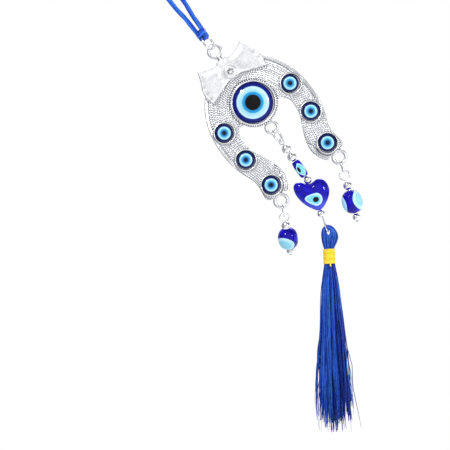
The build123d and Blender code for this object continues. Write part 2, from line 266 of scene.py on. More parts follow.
def node_outline(node, depth):
    """Closed outlines, as x and z, of the flat face that a node has at this depth y."""
    mesh = frame["nodes"][node].data
    points = node_points(node)
    keys = [tuple(p) for p in np.round(points, 3)]
    edges = set()
    for face in mesh.polygons:
        corners = list(face.vertices)
        if all(abs(points[i][1] - depth) < 0.01 for i in corners):
            edges |= {(keys[a], keys[b]) for a, b in zip(corners, corners[1:] + corners[:1])}
    following = {a: b for a, b in edges if (b, a) not in edges}
    loops = []
    while following:
        start, here = following.popitem()
        loop = [start]
        while here != start:
            loop.append(here)
            here = following.pop(here)
        loops.append(np.array(loop)[:, (0, 2)])
    return loops


joint_point = {j["name"]: np.array(j["pos_m"]) / MM for j in frame["joints"]}

# ---- material helpers ----


def linear(colour):
    """Linear colour with alpha, from an sRGB hex code or from linear red, green and blue."""
    if isinstance(colour, str):
        srgb = np.array([int(colour[i : i + 2], 16) for i in (0, 2, 4)]) / 255
        colour = np.where(srgb <= 0.04045, srgb / 12.92, ((srgb + 0.055) / 1.055) ** 2.4)
    return (*(float(x) for x in colour), 1.0)


class Nodes:
    """Short ways to add nodes to a material's or the world's node tree."""

    def __init__(self, tree):
        self.tree = tree

    def feed(self, socket, source):
        """Gives a socket another socket's value, a number, or the colour of a hex code."""
        if hasattr(source, "is_output"):
            self.tree.links.new(source, socket)
        else:
            socket.default_value = linear(source) if isinstance(source, str) else source

    def node(self, kind, sockets=None, **settings):
        """A new node, with these settings and with what its sockets are fed."""
        node = self.tree.nodes.new(kind)
        for key, value in settings.items():
            setattr(node, key, value)
        for key, source in (sockets or {}).items():
            self.feed(node.inputs[key], source)
        return node

    def value(self, name):
        return self.node("ShaderNodeAttribute", attribute_name=name).outputs["Fac"]

    def noise(self, scale, detail, where=None):
        where = where or self.node("ShaderNodeTexCoord").outputs["Object"]
        sockets = {"Scale": scale, "Detail": detail, "Vector": where}
        return self.node("ShaderNodeTexNoise", sockets).outputs["Fac"]

    def ramp(self, source, stops):
        node = self.node("ShaderNodeValToRGB", {"Fac": source})
        elements = node.color_ramp.elements
        while len(elements) < len(stops):
            elements.new(0.5)
        for element, (position, colour) in zip(elements, stops):
            element.position = position
            element.color = linear(colour)
        return node.outputs["Color"]

    def above(self, name, start, end):
        """Share that goes from 0 to 1 as the named value goes from start to end."""
        return self.ramp(self.value(name), ((start, "000000"), (end, "ffffff")))

    def below(self, name, start, end):
        """Share that goes from 1 to 0 as the named value goes from start to end."""
        return self.ramp(self.value(name), ((start, "ffffff"), (end, "000000")))

    def math(self, operation, a, b, clamp=False):
        return self.node("ShaderNodeMath", {0: a, 1: b}, operation=operation, use_clamp=clamp).outputs[0]

    def mix(self, factor, a, b, blend="MIX"):
        node = self.node("ShaderNodeMix", data_type="RGBA", blend_type=blend)
        colours = [s for s in node.inputs if s.type == "RGBA"]
        for socket, source in zip((node.inputs["Factor"], *colours), (factor, a, b)):
            self.feed(socket, source)
        return [s for s in node.outputs if s.type == "RGBA"][0]

    def spread(self, source, low, high):
        """Maps 0 to 1 onto low to high."""
        sockets = {"Value": source, "To Min": low, "To Max": high}
        return self.node("ShaderNodeMapRange", sockets).outputs["Result"]


class Look(Nodes):
    """A node material: a Principled shader, and short ways to feed it."""

    def __init__(self, name, **sockets):
        self.material = bpy.data.materials.new(name)
        self.material.use_nodes = True
        super().__init__(self.material.node_tree)
        self.shader = self.tree.nodes["Principled BSDF"]
        self.set(**sockets)

    def set(self, **sockets):
        """Feeds the shader's sockets, named with an underscore for each space."""
        for key, source in sockets.items():
            self.feed(self.shader.inputs[key.replace("_", " ")], source)

    def bump(self, source, distance, strength):
        sockets = {"Height": source, "Distance": distance * MM, "Strength": strength}
        self.set(Normal=self.node("ShaderNodeBump", sockets).outputs["Normal"])


# ---- materials ----


def silver_look(name, roughness, wear, recess_shade=None, metallic=1.0):
    """Worn silver. Where the relief value is low, a darker recess colour paints shade into the recesses.
    """
    look = Look(name, Metallic=metallic)
    bright = look.ramp(look.noise(900.0, 5.0), ((0.3, "dcdee1"), (0.7, "f8f8f8")))
    if recess_shade:
        # Painted shade: the lower the relief value, the darker the silver
        shade = look.ramp(look.value("relief"), ((0.0, recess_shade), (0.60, "d0d2d5"), (1.0, "ffffff")))
        bright = look.mix(1.0, bright, shade, "MULTIPLY")
    worn = look.spread(look.noise(2400.0, 3.0), roughness, roughness + wear)
    look.set(Base_Color=bright, Roughness=worn)
    look.bump(look.noise(5200.0, 2.0), 0.012, 0.5)
    return look.material


def glass_look(name):
    """Cobalt glass with eyes fused in. The values patch and pupil reach 1 at the edges of those."""
    look = Look(name, Roughness=0.05, IOR=1.5, Specular_IOR_Level=0.28)
    colour = look.ramp(look.noise(380.0, 4.0), ((0.32, "070080"), (0.7, "1400c6")))
    # Painted light: paler blue on the heart's thin edges, where the glow value is high
    colour = look.mix(look.above("glow", 0.0, 1.0), colour, "4450d8")
    iris = look.ramp(look.noise(700.0, 3.0), ((0.35, "5cc4ee"), (0.68, "8fe0f8")))
    iris = look.mix(look.value("milky"), iris, "a4e2f2")
    iris = look.mix(look.above("patch", 0.66, 0.72), iris, "bfeaf8")
    colour = look.mix(look.below("patch", 0.96, 1.0), colour, iris)
    look.set(Base_Color=look.mix(look.below("pupil", 0.86, 1.0), colour, "04040a"))
    return look.material


def eye_look(name, stops, blur):
    """Printed rings under a clear dome. Each stop is a radius in millimetres and a colour."""
    look = Look(name, Roughness=0.03, IOR=1.5, Specular_IOR_Level=0.22)
    widest = stops[-1][0]
    wobble = look.spread(look.noise(1400.0, 4.0), -blur, blur)
    radius = look.math("ADD", look.value("ring"), wobble)
    share = look.math("DIVIDE", radius, widest, clamp=True)
    rings = look.ramp(share, [(radius_at / widest, code) for radius_at, code in stops])
    tint = look.ramp(look.noise(500.0, 3.0), ((0.3, "eef0f4"), (0.7, "ffffff")))
    look.set(Base_Color=look.mix(1.0, rings, tint, "MULTIPLY"))
    return look.material


def thread_look(name, dark, middle, bright, roughness, sheen):
    """Twisted thread, whose colour goes from dark to bright with the value named tone."""
    look = Look(name, Roughness=roughness, Specular_IOR_Level=0.3)
    look.set(Sheen_Weight=sheen, Sheen_Roughness=0.4, Sheen_Tint=bright)
    streak = look.math("ADD", look.value("tone"), look.spread(look.noise(650.0, 3.0), -0.2, 0.2))
    look.set(Base_Color=look.ramp(streak, ((0.1, dark), (0.5, middle), (0.92, bright))))
    turns = {"X": look.math("MULTIPLY", look.value("along"), 2.4), "Y": look.value("around")}
    turns = look.node("ShaderNodeCombineXYZ", turns).outputs["Vector"]
    bands = {"wave_type": "BANDS", "bands_direction": "DIAGONAL"}
    twist = look.node("ShaderNodeTexWave", {"Scale": 1.0, "Vector": turns}, **bands)
    look.bump(twist.outputs["Fac"], 0.03, 0.6)
    return look.material


casting_metal = silver_look("silver_casting", 0.22, 0.14, recess_shade="4c5056")
bow_metal = silver_look("silver_bow", 0.30, 0.14, recess_shade="70747a", metallic=0.55)
wire_metal = silver_look("silver_wire", 0.12, 0.10)
bead_metal = silver_look("silver_bead", 0.05, 0.05)
cobalt_glass = glass_look("cobalt_glass")
big_eye_print = eye_look(
    "big_eye_glass",
    ((0.0, "020204"), (3.35, "040509"), (3.55, "1c86c4"), (4.65, "2ea4de"), (4.85, "9ad8ee"))
    + ((6.9, "cdeef6"), (7.1, "a8d4ec"), (7.3, "0c1880"), (9.2, "0a1068")),
    0.06,
)
small_eye_print = eye_look(
    "small_eye_glass",
    ((0.0, "03060c"), (0.75, "08203a"), (1.15, "1f6fae"), (1.85, "58b8e4"))
    + ((2.15, "98def2"), (2.75, "b4eaf6"), (2.95, "12235e"), (4.1, "0b1450")),
    0.10,
)
satin = thread_look("satin_cord", "04207c", "0c48c0", "3a8cf0", 0.32, 0.25)
silk = thread_look("blue_silk", "021a74", "083cb0", "3a7ee6", 0.40, 0.25)
yellow = thread_look("yellow_thread", "ffc414", "ffdc2c", "fff070", 0.5, 0.2)

crystal_look = Look("crystal", Roughness=0.02, IOR=1.7, Coat_Weight=1.0, Metallic=0.6)
# Painted reflections: dark and white patches by noise stand for what the facets mirror
painted_facet_reflections = ((0.40, "3c4046"), (0.5, "c0c4c8"), (0.62, "ffffff"))
crystal_look.set(Base_Color=crystal_look.ramp(crystal_look.noise(1500.0, 2.0), painted_facet_reflections))
crystal = crystal_look.material

# ---- hanging cord ----

# The route of the cord's tube, with one more point on each long straight run, 13 mm from the nail
cord_route = ((-1.15, 0, -26.45), (-2.14, 0, -11.9), (-3.0, 0, 1.1))
cord_route += ((3.0, 0, 1.1), (2.14, 0, -11.9), (1.15, 0, -26.45))
cord_strands = 3
strand_radius = 0.60
strand_offset = 0.52
strand_twist = 0.16  # radians for each millimetre of cord


def nurbs_line(points, resolution=24):
    """Points along the NURBS spline that has these control points."""
    curve = bpy.data.curves.new("route", "CURVE")
    curve.dimensions = "3D"
    curve.resolution_u = resolution
    spline = curve.splines.new("NURBS")
    spline.points.add(len(points) - 1)
    for control, point in zip(spline.points, points):
        control.co = (*[x * MM for x in point], 1)
    spline.order_u = 3
    spline.use_endpoint_u = True
    holder = add_object("route", curve)
    bpy.context.view_layer.update()
    mesh = bpy.data.meshes.new_from_object(holder)
    line = np.array([v.co for v in mesh.vertices]) / MM
    bpy.data.objects.remove(holder)
    bpy.data.meshes.remove(mesh)
    return line


cord_line = nurbs_line(cord_route)
cord_along = distances_along(cord_line)
_, cord_side, cord_other = directions_along(cord_line, False)
cord = Shape()
for strand in range(cord_strands):
    turn = cord_along * strand_twist + strand * 2 * np.pi / cord_strands
    lay = turned(cord_side, cord_other, turn)
    tube(cord, cord_line + lay * strand_offset, strand_radius, tone=0.45 + 0.12 * strand)
hanging_cord = cord.make("hanging_cord_satin", satin, "hanger", "satin_cord", ["hanging_cord"])
[x * MM for x in cord_route[0]]

# The hitch: four strands folded over the jump ring's wire, bound by two turns above it
top_ring_radius = 3.45
hitch_shifts = (-1.62, -0.56, 0.50, 1.56)  # of the strands, along the ring's wire
# Each point of a fold: across the ring's wire, up from it, and how far it leans in to the others
hitch_fold = ((-0.85, 3.4, 1.4), (-1.15, 1.2, 0.4), (-1.12, -0.5, 0), (0, -1.28, 0))
hitch_fold += ((1.12, -0.5, 0), (1.15, 1.2, 0.4), (0.85, 3.4, 1.4))
hitch_strand_radius, band_strand_radius = 0.58, 0.52
band_radius, band_tilt = 2.05, 0.55
ring_wire = unit(rightward(np.cross(thin_axis("top_jump_ring"), UP)))
hitch_top = node_centre("top_jump_ring") + UP * top_ring_radius
hitch = Shape()
hitch_across = unit(np.cross(ring_wire, UP))
for strand, shift in enumerate(hitch_shifts):
    base = hitch_top + ring_wire * shift - UP * (0.10 * shift**2)
    lean_in = -ring_wire * shift * 0.25
    fold = [base + hitch_across * over + UP * up + lean_in * lean for over, up, lean in hitch_fold]
    tube(hitch, smooth_path(fold, 8), hitch_strand_radius, tone=0.4 + 0.13 * strand)
band_turn = round_angles(48)
for level, tone in ((1.35, 0.75), (2.35, 0.5)):
    band = hitch_top + UP * level + band_radius * turned(RIGHT, FRONT, band_turn)
    band = band + UP * (band_tilt * np.cos(band_turn + 0.6))[:, None]
    tube(hitch, band, band_strand_radius, closed=True, tone=tone)
hitch.make("cord_hitch_satin", satin, "hanger", "satin_cord", ["cord_hitch"])

# ---- rings and pins ----

ring_cut_half_width = 0.05


def jump_ring(name, cut_at):
    """A ring of round wire, closed until its two cut ends nearly touch at this angle in degrees."""
    node = f"{name}_jump_ring"
    centre, axis = node_centre(node), thin_axis(node)
    reach = node_points(node) - centre
    wire = np.abs(reach @ axis).max()
    radius = np.linalg.norm(reach, axis=1).max() - wire
    u = unit(np.cross(axis, FRONT if abs(axis @ FRONT) < 0.9 else UP))
    half_gap = ring_cut_half_width / radius
    turn = np.linspace(half_gap, 2 * np.pi - half_gap, 72) + np.radians(cut_at)
    ring = Shape()
    tube(ring, centre + radius * turned(u, np.cross(axis, u), turn), wire, 16)
    ring.make(f"{node}_wire", wire_metal, f"{name}_ring", "silver_wire", [node], sharp=50)


for name, cut_at in (("top", 200), ("centre", 70), ("left", 130), ("right", 130)):
    jump_ring(name, cut_at)

pin_wire = 0.30
bead_gap = 0.12
side_eye_radius = 2.2
wire_eye_turns = 0.93


def wire_eye(centre, down, side, radius):
    """Path of a loop bent at the top of a pin, whose end comes back to the neck."""
    angle = np.linspace(-np.pi / 2 + 2 * np.pi * wire_eye_turns, -np.pi / 2, 48)
    return centre + radius * turned(side, -down, angle)


def side_pin(name):
    upper = node_centre(f"{name}_upper_silver_bead")
    foot = node_centre(f"{name}_foot_silver_bead")
    down = unit(foot - upper)
    ring_side = thin_axis(f"{name}_jump_ring")
    loop_side = unit(ring_side - down * (ring_side @ down))
    top_of_bead = upper - down * node_radius(f"{name}_upper_silver_bead")
    centre = top_of_bead - down * (side_eye_radius + pin_wire + 2 * bead_gap)
    eye = wire_eye(centre, down, loop_side, side_eye_radius)
    foot_end = foot + down * (node_radius(f"{name}_foot_silver_bead") + bead_gap)
    straight = [eye[-1] + down * t for t in (0.25, 1.0)] + [foot_end]
    pin = Shape()
    tube(pin, np.vstack((eye, straight)), pin_wire)
    head = ((0, 0), (0.55, 0.0), (0.75, 0.12), (0.72, 0.28), (0.45, 0.40), (0, 0.44))
    lathe(pin, head, foot_end, down, 32, closed=False)
    node, body = f"{name}_pin", f"{name}_strand"
    pin.make(f"{node}_wire", wire_metal, body, "silver_wire", [node], weld=True, sharp=50)


for name in ("left", "right"):
    side_pin(name)

notch_bead = node_centre("notch_silver_bead")
foot_bead = node_centre("foot_silver_bead")
first_bead = node_centre("upper_silver_bead")
strand_down = unit(node_centre("second_silver_bead") - first_bead)
heart_down = unit(foot_bead - notch_bead)
heart_across = rightward(unit(np.cross(heart_down, FRONT)))

centre_pin = Shape()
strand_eye_radius = 1.20
strand_eye_reach = node_radius("upper_silver_bead") + bead_gap + pin_wire + strand_eye_radius
strand_eye_centre = first_bead - strand_down * strand_eye_reach
strand_eye_axis = np.cross(thin_axis("centre_jump_ring"), strand_down)
strand_eye_side = unit(np.cross(strand_eye_axis, strand_down))
eye_path = wire_eye(strand_eye_centre, strand_down, strand_eye_side, strand_eye_radius)
shank_points = (eye_path[-1] + strand_down * 0.4, notch_bead, foot_bead + heart_down * 1.7)
tube(centre_pin, np.vstack((eye_path, smooth_path(shank_points, 12))), pin_wire)
# Long narrow loop, whose two wires part below the foot bead
loop_turn = np.radians(75.0)
loop_side = heart_across * np.cos(loop_turn) - FRONT * np.sin(loop_turn)
loop_top = foot_bead + heart_down * 1.75
loop_length = 6.6
loop_points = [loop_top + loop_side * 0.22]
# Half its width at shares of its length
loop_halves = ((0.10, 0.32), (0.35, 0.85), (0.62, 1.42), (0.82, 1.88), (0.94, 1.75), (1.0, 1.05))
loop_halves += ((1.02, 0.0),)
for reach, half in loop_halves:
    loop_points.append(loop_top + heart_down * loop_length * reach + loop_side * half)
for point in loop_points[-2::-1]:
    offset = point - loop_top
    loop_points.append(point - 2 * loop_side * (offset @ loop_side))
tube(centre_pin, smooth_path(loop_points, 6), pin_wire)
centre_pin.make("centre_pin_wire", wire_metal, "centre_strand", "silver_wire", ["centre_pin"], sharp=50)

# ---- beads ----

bead_hole, oval_hole = 0.42, 0.45
lip_width, lip_depth = 0.14, 0.15


def bead_profile(radius, half_length, hole, bulge=2.0, steps=36):
    """Outside of a bead from hole to hole, rounded into its bore, and back through the bore."""
    lip = hole + lip_width
    out = []
    for t in np.linspace(-1, 1, steps):
        angle = t * np.pi / 2
        width = abs(np.cos(angle)) ** (2 / bulge)
        height = np.sign(t) * abs(np.sin(angle)) ** (2 / bulge)
        if radius * width > lip:
            out.append((radius * width, half_length * height))
    top = out[-1][1]
    return out + [(lip, top), (hole, top - lip_depth), (hole, -top + lip_depth), (lip, -top)]


def silver_bead(node, down):
    radius = node_radius(node)
    bead = Shape()
    lathe(bead, bead_profile(radius, radius, bead_hole), node_centre(node), down)
    bead.make(f"{node}_turned", bead_metal, node, "silver_bead", [node], sharp=60)


silver_bead("upper_silver_bead", strand_down)
silver_bead("second_silver_bead", strand_down)
silver_bead("notch_silver_bead", strand_down + heart_down)
silver_bead("foot_silver_bead", heart_down)
side_down = {}
for side in ("left", "right"):
    upper, foot = f"{side}_upper_silver_bead", f"{side}_foot_silver_bead"
    side_down[side] = unit(node_centre(foot) - node_centre(upper))
    silver_bead(upper, side_down[side])
    silver_bead(foot, side_down[side])


def wrapped(turn, centre_degrees):
    """Angle from a direction given in degrees, between minus pi and pi."""
    return (turn - np.radians(centre_degrees) + np.pi) % (2 * np.pi) - np.pi


def glass_bead(node, down, profile, radius, eyes, almond=False, milky=0.0):
    """A turned glass bead with eyes fused in. Each eye: azimuth in degrees from the front, place
    along the bead, half length, half width, and the pupil's shift and half sizes."""

    def nearest(spots, h, turn, pointed):
        """How far out each point is in the nearest spot, as a share of the way to its edge."""
        best = 9.0
        for azimuth, place_along, half_length, half_width in spots:
            u = (h - place_along) / half_length
            w = wrapped(turn, azimuth) * radius / half_width
            best = np.minimum(best, np.abs(w) + u**2 if pointed else np.sqrt(u**2 + w**2))
        return np.clip(best, 0, 2)

    irises = [eye[:4] for eye in eyes]
    pupils = [(eye[0] + eye[4], eye[1] + eye[5], *eye[6:]) for eye in eyes]

    def patch(r, h, turn):
        return nearest(irises, h, turn, almond)

    def pupil(r, h, turn):
        return nearest(pupils, h, turn, False)

    bead = Shape()
    lathe(bead, profile, node_centre(node), down, 144, patch=patch, pupil=pupil, milky=milky)
    bead.make(f"{node}_glass", cobalt_glass, node, "cobalt_glass", [node], sharp=60)


barrel_radius, barrel_end, barrel_bulge, barrel_half = 2.15, 1.62, 0.53, 3.8
barrel_lip = [(0.75, 4.02), (1.25, 4.0), (1.5, 3.93)]
barrel = [(radius, -height) for radius, height in barrel_lip]
for h in np.linspace(-barrel_half, barrel_half, 56):
    barrel.append((barrel_end + barrel_bulge * (1 - (h / barrel_half) ** 2) ** 0.8, h))
barrel += barrel_lip[::-1] + [(bead_hole, 3.85), (bead_hole, -3.85)]
barrel_eyes = [(azimuth, 0.5, 3.3, 2.25, 24, -0.4, 1.45, 0.70) for azimuth in (-4, 116, 236)]
glass_bead("barrel_bead", strand_down, barrel, barrel_radius, barrel_eyes, almond=True)

oval_radius, oval_half_length, oval_eye_radius = 4.55, 5.2, 4.4
oval = bead_profile(oval_radius, oval_half_length, oval_hole, bulge=2.27, steps=90)
right_eyes = [(80, 0.2, 3.7, 3.1, 14, 0.6, 1.4, 0.9), (-52, -0.1, 4.3, 3.9, -30, 1.2, 1.3, 0.8)]
right_eyes.append((185, 0.2, 3.5, 3.1, 4, 0.3, 1.2, 0.9))
left_eyes = [(30, 0.8, 4.1, 4.6, 52, 1.4, 1.3, 0.7), (-100, 0.6, 3.4, 3.1, 4, 0.2, 1.2, 0.9)]
left_eyes.append((150, 0.2, 3.5, 3.1, 4, 0.3, 1.2, 0.9))
for side, eyes, milky in (("right", right_eyes, 0.8), ("left", left_eyes, 0.6)):
    glass_bead(f"{side}_oval_bead", side_down[side], oval, oval_eye_radius, eyes, milky=milky)

# ---- heart ----

heart_notch = 4.2
heart_middle = notch_bead + heart_down * (node_radius("notch_silver_bead") + bead_gap + heart_notch)
heart_half_thickness = 3.0
heart_pupil = np.array((0.16, -3.15))
heart_tail = np.array((-5.3, 2.4))  # from its pupil
# Its uneven outline, right of and up from its middle, clockwise from the notch
heart_outline = ((0, 4.2), (1.9, 4.5), (3.5, 4.95), (5.1, 4.7), (6.7, 3.3), (7.45, 1.0), (7.2, -1.6))
heart_outline += ((6.0, -3.9), (3.8, -6.3), (1.2, -7.95), (-0.9, -7.95), (-2.8, -6.4), (-5.4, -3.2))
heart_outline += ((-7.0, 0.5), (-7.4, 3.3), (-7.0, 5.5), (-5.7, 6.65), (-3.6, 6.4), (-1.95, 5.25))


def glass_heart():
    local = smooth_path(heart_outline, 12, closed=True)
    turn = np.arctan2(local[:, 1], local[:, 0]) % (2 * np.pi)
    order = np.argsort(turn)
    steps = round_angles(180)
    rim = np.interp(steps, turn[order], np.linalg.norm(local, axis=1)[order], period=2 * np.pi)
    share = np.sin(np.linspace(0, 1, 40) * np.pi / 2)
    x = share[:, None] * rim * np.cos(steps)
    y = share[:, None] * rim * np.sin(steps)
    puff = heart_half_thickness * (1 - share**2.4) ** 0.55
    # The almond eye: widest at its pupil, and narrower towards its tail
    dx, dy = x - heart_pupil[0], y - heart_pupil[1]
    back = np.clip((dx * heart_tail[0] + dy * heart_tail[1]) / (heart_tail @ heart_tail), 0, 1)
    centre_x, centre_y = back * heart_tail[0] * 0.72, back * heart_tail[1] * 0.72
    patch = np.hypot(dx - centre_x, dy - centre_y) / (2.9 - 1.75 * back)
    pupil = np.hypot((dx + 0.1) / 1.5, (dy + 0.05) / 1.25)
    # Painted light: a paler blue along the lower left edge and at the tip, where thin glass lets light
    # through
    edge = np.clip((share[:, None] - 0.62) / 0.38, 0, 1)
    low_left = np.clip((-y * 0.75 - x * 0.55) / 7.0, 0, 1)
    low_tip = np.clip((-y - 3.6) / 3.6, 0, 1)
    glow = np.clip(edge * low_left * 1.2 + 0.85 * low_tip, 0, 1)
    outline = heart_middle + x[..., None] * heart_across - y[..., None] * heart_down
    faces = grid_faces(len(share), len(steps))
    shape = Shape()
    # The back has no eye, so its values stay well over 1
    for side, plain in ((1, 0), (-1, 9)):
        points = outline + (side * puff)[:, None, None] * FRONT
        values = {"patch": np.clip(patch + plain, 0, 2), "pupil": np.clip(pupil + plain, 0, 2)}
        shape.add(points, faces, glow=glow, **values)
    shape.make("heart_bead_glass", cobalt_glass, "heart_bead", "cobalt_glass", ["heart_bead"], weld=True)


glass_heart()

# ---- horseshoe casting ----

plate_back = 1.2
relief_pitch = 0.20
bump_pitch = 1.02
row_share = 0.87  # between two rows of bumps, as a share of their pitch
bump_height, bump_radius = 0.36, 0.56
weave_floor = 0.72
rim_width, rim_low, rim_step = 1.25, 1.32, 0.30
rim_runs_out = (-86.0, -80.0)  # heights between which the rim fades
collar_front, lip_front = 0.8, 1.15

# How far each glass eye sits off its cup's centre, right and up
eye_shift = {
    "centre_eye": (-0.22, 0.24),
    "left_upper_eye": (-0.08, 0.06),
    "left_middle_eye": (0.05, 0.08),
    "left_lower_eye": (-0.06, 0.10),
    "right_upper_eye": (-0.24, 0.28),
    "right_middle_eye": (0.10, 0.05),
    "right_lower_eye": (0.06, 0.10),
}
cup_centre = {n: node_centre(n)[[0, 2]] - np.array(s) for n, s in eye_shift.items()}
big_cup_radius, small_cup_radius = 10.35, 4.8


def outline_distance(points, loops):
    """Distance to the outlines, positive inside them, and the nearest point on them."""
    best = np.full(len(points), 1e9)
    nearest = np.zeros_like(points)
    inside = np.zeros(len(points), bool)
    for loop in loops:
        for a, b in zip(loop, np.roll(loop, -1, axis=0)):
            run = b - a
            share = np.clip((points - a) @ run / max(run @ run, 1e-12), 0, 1)
            foot = a + share[:, None] * run
            gap = np.linalg.norm(points - foot, axis=1)
            closer = gap < best
            best[closer] = gap[closer]
            nearest[closer] = foot[closer]
            if a[1] != b[1]:
                crossed = (a[1] > points[:, 1]) != (b[1] > points[:, 1])
                at = a[0] + (points[:, 1] - a[1]) * run[0] / run[1]
                inside ^= crossed & (points[:, 0] < at)
    return np.where(inside, best, -best), nearest


def relief_slab(shape, loops, pitch, back, height):
    """A slab with these outlines and a flat back, whose front stands height(x, z, distance from
    the edge) before the middle plane. Height gives that, and the value that paints shade into the
    recesses."""
    low = np.min([l.min(0) for l in loops], axis=0) - pitch
    high = np.max([l.max(0) for l in loops], axis=0) + pitch
    xs, zs = np.arange(low[0], high[0], pitch), np.arange(low[1], high[1], pitch)
    gx, gz = np.meshgrid(xs, zs)
    points = np.stack((gx.ravel(), gz.ravel()), axis=1)
    distance, nearest = outline_distance(points, loops)
    quads = np.array(grid_faces(len(zs), len(xs), wrap_columns=False))
    quads = quads[distance[quads].mean(1) > 0]
    used = Counter(quads.ravel().tolist())
    edge = np.array(sorted(i for i, n in used.items() if n < 4))
    points[edge] = nearest[edge]
    distance[edge] = 0
    keep = np.array(sorted(used))
    index = np.full(len(points), -1)
    index[keep] = np.arange(len(keep))
    quads, points, distance = index[quads], points[keep], np.maximum(distance[keep], 0)
    front, relief = height(points[:, 0], points[:, 1], distance)
    shape.add(np.stack((points[:, 0], -front, points[:, 1]), axis=1), quads.tolist(), relief=relief)
    rear = back - 0.25 * np.clip(1 - distance / 0.3, 0, 1) ** 2
    shape.add(np.stack((points[:, 0], rear, points[:, 1]), axis=1), quads[:, ::-1].tolist(), relief=0.8)
    pairs = {(a, b) for q in quads.tolist() for a, b in zip(q, q[1:] + q[:1])}
    walls = [(b, a, a + len(points), b + len(points)) for a, b in pairs if (b, a) not in pairs]
    start = shape.count - 2 * len(points)
    shape.faces += [[i + start for i in wall] for wall in walls]


def soft_step(value, start, end):
    t = np.clip((value - start) / (end - start), 0, 1)
    return t * t * (3 - 2 * t)


def fade(start, end, share):
    """From start, where the share is 0, to end, where it is 1."""
    return start * (1 - share) + end * share


def ridge(value, middle, width):
    """1 where the value is at the middle, falling off to 0 on both sides over this width."""
    return np.exp(-(((value - middle) / width) ** 2))


def at_even_steps(line, step, start=0.0):
    """Points of a flat line, this far apart along it."""
    along = distances_along(line)
    places = np.arange(start, along[-1], step)
    return np.stack([np.interp(places, along, line[:, i]) for i in (0, 1)], axis=1)


def outer_edge(loop):
    """The outside of the horseshoe, from its left tip over the crown to its right tip."""
    left = np.argmin(np.where(loop[:, 0] < 0, loop[:, 1], 1e9))
    right = np.argmin(np.where(loop[:, 0] > 0, loop[:, 1], 1e9))
    first, second = sorted((left, right))
    halves = (loop[first : second + 1], np.vstack((loop[second:], loop[: first + 1])))
    smooth = at_even_steps(max(halves, key=lambda half: half[:, 1].max()), 0.5)
    for _ in range(40):
        smooth[1:-1] = (smooth[:-2] + 2 * smooth[1:-1] + smooth[2:]) / 4
    return smooth


def bump_centres(edge, first_row, rows):
    """Centres of the cast bumps, in rows that follow the horseshoe's outer edge."""
    ahead = np.gradient(edge, axis=0)
    inward = np.stack((ahead[:, 1], -ahead[:, 0]), axis=1)
    inward /= np.linalg.norm(inward, axis=1)[:, None]
    if inward[len(edge) // 2][1] > 0:
        inward = -inward
    centres = []
    for row in range(rows):
        shift = first_row + row * bump_pitch * row_share
        line = edge + inward * shift
        gaps = np.linalg.norm(line[:, None] - edge[None], axis=2).min(1)
        line = line[gaps > shift - 0.12]
        if len(line) < 4:
            continue
        centres.append(at_even_steps(line, bump_pitch, 0.5 * (row % 2) * bump_pitch))
    return np.vstack(centres)


plate_loops = node_outline("horseshoe_plate", plate_back)
crown_edge = outer_edge(plate_loops[0])
first_row, row_count = 0.6, 22
weave = bump_centres(crown_edge, first_row, row_count)
# More bumps wherever those rows leave the face bare, as at the tips
low, high = plate_loops[0].min(0), plate_loops[0].max(0)
spare_columns = np.arange(low[0], high[0], bump_pitch)
spare_rows = np.arange(low[1], high[1], bump_pitch * row_share)
spare_x, spare_z = np.meshgrid(spare_columns, spare_rows)
spare_x[1::2] += bump_pitch / 2
spare = np.stack((spare_x.ravel(), spare_z.ravel()), axis=1)
bare = [np.linalg.norm(weave - point, axis=1).min() > bump_pitch * 0.84 for point in spare]
weave = np.vstack((weave, spare[bare]))
weave_tree = kdtree.KDTree(len(weave))
for i, (x, z) in enumerate(weave):
    weave_tree.insert((x, 0, z), i)
weave_tree.balance()


def plate_height(x, z, distance):
    gap = np.array([weave_tree.find((a, 0, b))[2] for a, b in zip(x, z)])
    bump = np.sqrt(np.clip(1 - (gap / bump_radius) ** 2, 0, 1))
    front = weave_floor + bump_height * bump
    # Painted shade: darker in the hollows between the bumps
    relief = 0.10 + 0.90 * bump**1.3
    # Any patch too narrow for a bump is plain metal
    plain = soft_step(gap, 0.64, 0.72)
    front = fade(front, weave_floor + 0.7 * bump_height, plain)
    relief = fade(relief, 0.85, plain)
    flat = np.stack((x, z), axis=1)
    parts = np.array_split(flat, len(flat) // 4000 + 1)
    outer = np.concatenate([np.linalg.norm(p[:, None] - crown_edge[None], axis=2).min(1) for p in parts])
    # Smooth raised rim in two steps round the crown, which runs out beside the middle eyes
    crown = soft_step(z, *rim_runs_out)
    rim = (1 - soft_step(outer, rim_width - 0.12, rim_width + 0.12)) * crown
    rim_front = rim_low + rim_step * (1 - soft_step(outer, 0.50, 0.66))
    front = fade(front, rim_front, rim)
    relief = fade(relief, 1, rim)
    # Painted shade: a dark line along the foot of the rim, where the face has no groove
    relief *= 1 - 0.75 * ridge(outer - rim_width, 0.22, 0.16) * crown
    # Smooth collars round the cups, and two curved lips round the inner side of the lowest ones
    for name, (cx, cz) in cup_centre.items():
        radius = big_cup_radius if name == "centre_eye" else small_cup_radius
        away = np.hypot(x - cx, z - cz) - radius
        collar = 1 - soft_step(away, 0.08, 0.20)
        front = fade(front, collar_front, collar)
        relief = fade(relief, 1, collar)
        # Painted shadow: a thin grey ring round each cup
        relief *= 1 - 0.3 * ridge(away, 0.3, 0.22)
        if "lower" in name:
            inward = (cx - x) * np.sign(cx)
            smooth = soft_step(cz - z, -1.8, -0.4) * soft_step(inward, -2.5, -0.5)
            smooth = smooth * (1 - soft_step(away, 1.7, 2.1)) * soft_step(away, 0.18, 0.24)
            deep, fine = ridge(away, 0.50, 0.27), ridge(away, 1.38, 0.16)
            front = fade(front, lip_front - 0.55 * deep - 0.35 * fine, smooth)
            # Painted shade in the lips' two grooves
            relief = fade(relief, 1 - 0.98 * deep - 0.7 * fine, smooth)
    round_off = np.clip(1 - distance / 0.30, 0, 1) ** 2
    return front - 0.30 * round_off, np.clip(relief, 0, 1)


